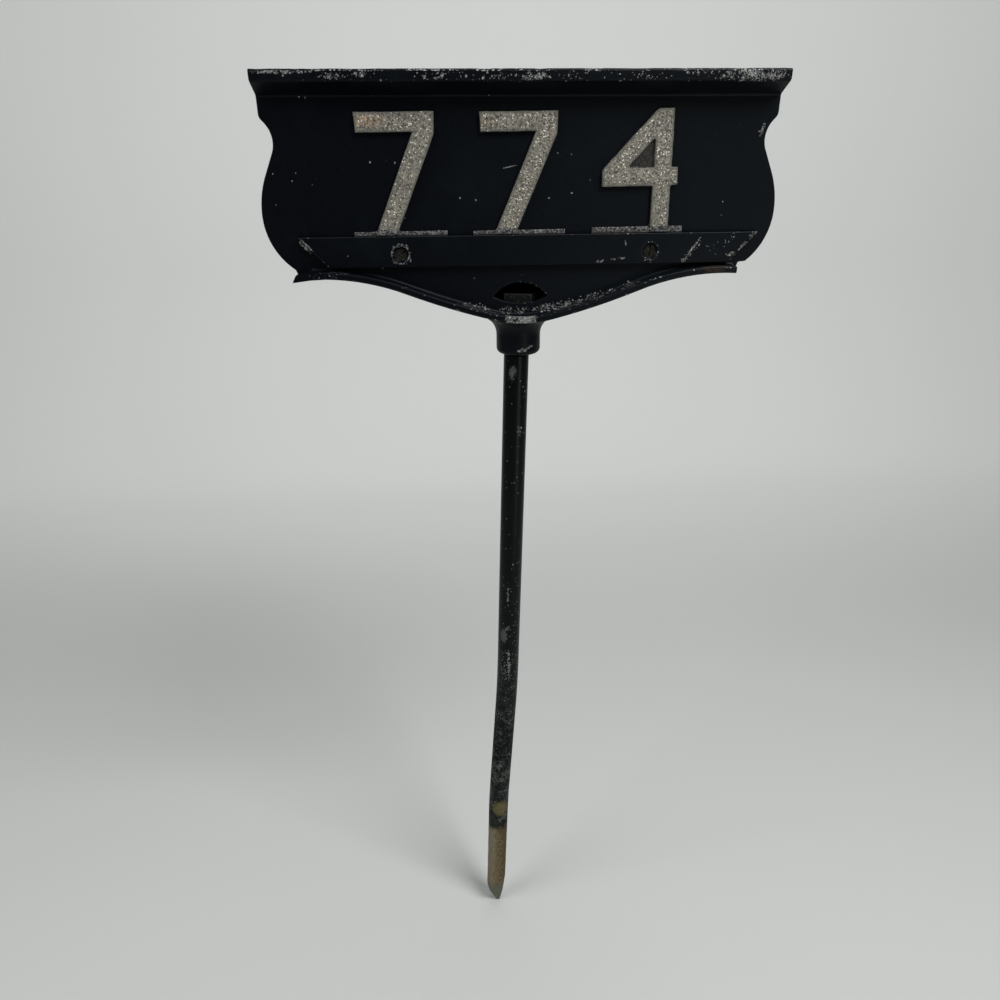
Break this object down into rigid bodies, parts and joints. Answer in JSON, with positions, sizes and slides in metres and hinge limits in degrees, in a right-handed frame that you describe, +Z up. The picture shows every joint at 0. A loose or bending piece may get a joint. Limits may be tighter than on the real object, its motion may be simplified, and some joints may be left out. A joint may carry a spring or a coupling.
{
  "type": "address plaque",
  "caption": "Lawn address plaque: a scalloped cast panel with a top ledge and bottom flange, plain numerals clamped by a screwed bar, on a pointed steel stake with a nut held in the casting.",
  "frame": {"origin": "on the stake's axis at the ground line, where the earth stain begins", "axes": "+Z up along the stake and the panel's height, -Y towards the viewer in front of the numerals, +X to the viewer's right"},
  "size_m": [0.3599, 0.0573, 0.7952],
  "materials": {
    "casting_paint": "worn satin black paint over cast aluminium, bare metal at the edges",
    "bar_paint": "worn satin black paint, bare metal at the ends and round the screws",
    "blasted_numerals": "glass-bead blasted, brown stained",
    "screw_steel": "dark tarnished steel",
    "stake_paint": "satin black paint, worn and earth stained at the point",
    "nut_steel": "dull zinc plated steel"
  },
  "bodies": {
    "root": {"plaque_casting": "casting_paint", "retaining_bar": "bar_paint", "numeral_left": "blasted_numerals", "numeral_middle": "blasted_numerals", "numeral_right": "blasted_numerals", "bar_screws": "screw_steel", "stake": "stake_paint", "stake_nut": "nut_steel"}
  },
  "joints": []
}
